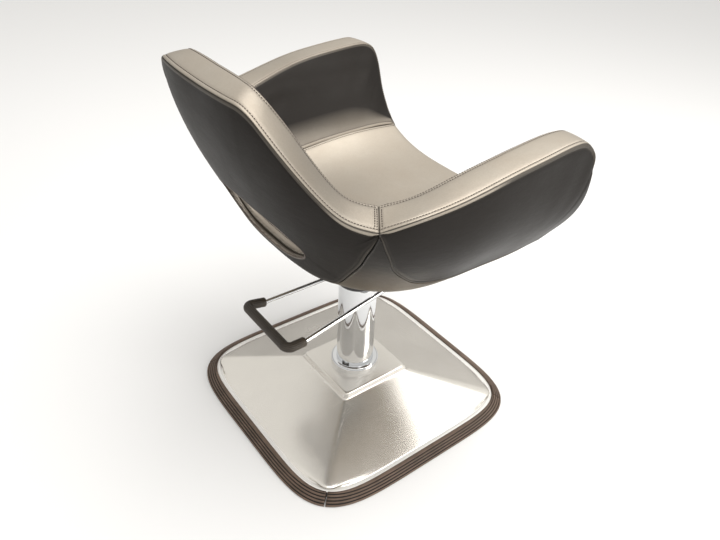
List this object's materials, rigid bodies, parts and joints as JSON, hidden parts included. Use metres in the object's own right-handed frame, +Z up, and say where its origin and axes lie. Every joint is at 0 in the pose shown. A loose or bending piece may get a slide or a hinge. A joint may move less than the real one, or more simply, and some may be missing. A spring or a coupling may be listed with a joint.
{
  "type": "salon styling chair",
  "caption": "Padded tub styling chair on a hydraulic column: swivel seat, slotted back, U-shaped foot pump bar and a square pressed steel base with a rubber edge.",
  "frame": {"origin": "floor level under the centre of the column", "axes": "+Z up, the chair faces -Y, the sitter's left arm is at +X"},
  "size_m": [0.694, 0.6118, 0.8012],
  "materials": {
    "steel_cover": "polished stainless pressing",
    "chrome": "polished chrome plate",
    "rubber": "dark brown moulded rubber",
    "pad_rubber": "black rubber",
    "steel": "machined steel",
    "painted_steel": "black powder coat",
    "cast_head": "painted casting",
    "bronze": "sintered bronze",
    "seal": "black nitrile",
    "shell": "brown-bronze leather over a moulded shell",
    "edging": "dark brown leather edging",
    "plywood": "birch plywood",
    "upholstery": "metallic taupe leather over moulded foam"
  },
  "bodies": {
    "base": {"base_cover": "steel_cover", "ballast_plate": "painted_steel", "base_trim_front": "rubber", "base_trim_back": "rubber", "base_trim_left": "rubber", "base_trim_right": "rubber", "floor_pads": "pad_rubber", "column_collar": "chrome", "column_tube": "chrome", "pump_cylinder": "steel", "flange_bolts": "steel", "gland_bush": "bronze", "wiper_ring": "seal"},
    "lift": {"ram": "chrome", "piston": "steel", "piston_seal": "seal", "thrust_washer": "bronze"},
    "seat": {"pump_head": "cast_head", "pedal_bush_left": "bronze", "pedal_bush_right": "bronze", "seat_plate": "painted_steel", "seat_bolts": "steel", "head_bolts": "steel", "tee_nuts": "steel", "bottom_shell": "shell", "slot_trim": "edging", "seat_board": "plywood", "seat_pad": "upholstery", "arm_pad_left": "upholstery", "arm_pad_right": "upholstery", "backrest_pad": "upholstery", "arm_bar_left": "painted_steel", "arm_bar_right": "painted_steel", "back_bar_left": "painted_steel", "back_bar_right": "painted_steel", "back_cross_bar": "painted_steel"},
    "pedal": {"pedal_bar": "chrome", "pedal_grip": "rubber", "pedal_shaft": "steel", "pedal_cam": "steel"},
    "plunger": {"pump_plunger": "steel", "plunger_spring": "steel"}
  },
  "joints": [
    {"name": "lift", "type": "slide", "parent": "base", "child": "lift", "axis": [0, 0, 1], "range_m": [0, 0.15]},
    {"name": "swivel", "type": "hinge", "parent": "lift", "child": "seat", "pos_m": [0, 0, 0.3], "axis": [0, 0, 1], "continuous": true},
    {"name": "pedal", "type": "hinge", "parent": "seat", "child": "pedal", "pos_m": [0, -0.054, 0.284], "axis": [-1, 0, 0], "range_deg": [0, 20], "stiffness_Nm_per_rad": 6, "springref_deg": -34.38},
    {"name": "plunger", "type": "slide", "parent": "seat", "child": "plunger", "axis": [0, 0, 1], "range_m": [0, 0.0078], "deforming": ["plunger_spring"]}
  ],
  "couplings": [
    {"joint": "plunger", "follows": "pedal", "m_per_rad": 0.022}
  ]
}
